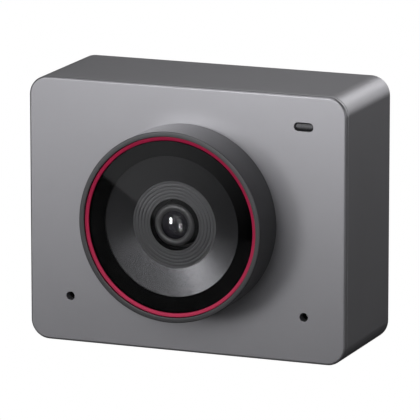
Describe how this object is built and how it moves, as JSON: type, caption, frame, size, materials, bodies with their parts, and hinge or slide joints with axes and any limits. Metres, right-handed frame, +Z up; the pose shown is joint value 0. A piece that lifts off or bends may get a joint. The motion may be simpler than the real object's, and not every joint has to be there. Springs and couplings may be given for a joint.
{
  "type": "compact box camera",
  "caption": "Compact box camera with a rounded grey housing, a round glass-covered lens bezel with a red accent ring, a focusing lens group, a tripod socket and a USB-C socket.",
  "frame": {"origin": "middle of the base of the bounding box, on the face the camera stands on", "axes": "+X to the right seen from in front of the lens, +Z up, and the lens looks along -Y"},
  "size_m": [0.056, 0.029, 0.0447],
  "materials": {
    "satin_grey": "satin anodised grey",
    "dark_bezel": "satin anodised dark grey",
    "red_trim": "anodised red",
    "cover_glass": "clear, anti-reflection coated",
    "lens_glass": "coated, polished",
    "filter_glass": "coated, polished",
    "baffle": "satin grey",
    "black_plastic": "fine matte",
    "chip_epoxy": "matte",
    "board": "solder mask",
    "rubber": "matte",
    "clear_plastic": "translucent",
    "steel": "bright",
    "magnet": "nickel plated",
    "copper": "bright copper alloy",
    "brass": "turned",
    "plain_aluminium": "machined"
  },
  "bodies": {
    "camera_body": {"front_panel": "satin_grey", "housing": "satin_grey", "lens_bezel": "dark_bezel", "accent_ring": "red_trim", "cover_glass": "cover_glass", "ir_filter": "filter_glass", "baffle_dish": "baffle", "rear_cover": "black_plastic", "glass_mask": "black_plastic", "actuator_base": "black_plastic", "sensor_holder": "black_plastic", "connector_plug": "black_plastic", "connector_socket": "black_plastic", "usb_tongue": "black_plastic", "processor": "chip_epoxy", "memory_chip": "chip_epoxy", "image_sensor": "chip_epoxy", "sensor_board": "board", "main_board": "board", "dust_gasket": "rubber", "mic_boot_left": "rubber", "mic_boot_right": "rubber", "thermal_pad": "rubber", "light_guide": "clear_plastic", "status_led": "clear_plastic", "actuator_can": "steel", "usb_shell": "steel", "microphone_left": "steel", "microphone_right": "steel", "case_screw_1": "steel", "case_screw_2": "steel", "case_screw_3": "steel", "case_screw_4": "steel", "bezel_screw_1": "steel", "bezel_screw_2": "steel", "bezel_screw_3": "steel", "sensor_screw_1": "steel", "sensor_screw_2": "steel", "board_screw_1": "steel", "board_screw_2": "steel", "board_screw_3": "steel", "board_screw_4": "steel", "focus_magnet_1": "magnet", "focus_magnet_2": "magnet", "focus_magnet_3": "magnet", "focus_magnet_4": "magnet", "focus_spring_front": "copper", "focus_spring_rear": "copper", "tripod_insert": "brass", "chassis": "plain_aluminium", "heat_sink": "plain_aluminium"},
    "focus_group": {"lens_carrier": "black_plastic", "focus_coil": "copper", "lens_barrel": "black_plastic", "front_lens": "lens_glass", "lens_element_2": "lens_glass", "lens_element_3": "lens_glass", "lens_retainer": "black_plastic"}
  },
  "joints": [
    {"name": "focus_slide", "type": "slide", "parent": "camera_body", "child": "focus_group", "axis": [0, -1, 0], "range_m": [0, 0.00035], "stiffness_N_per_m": 30, "deforming": ["focus_spring_front", "focus_spring_rear"]}
  ]
}
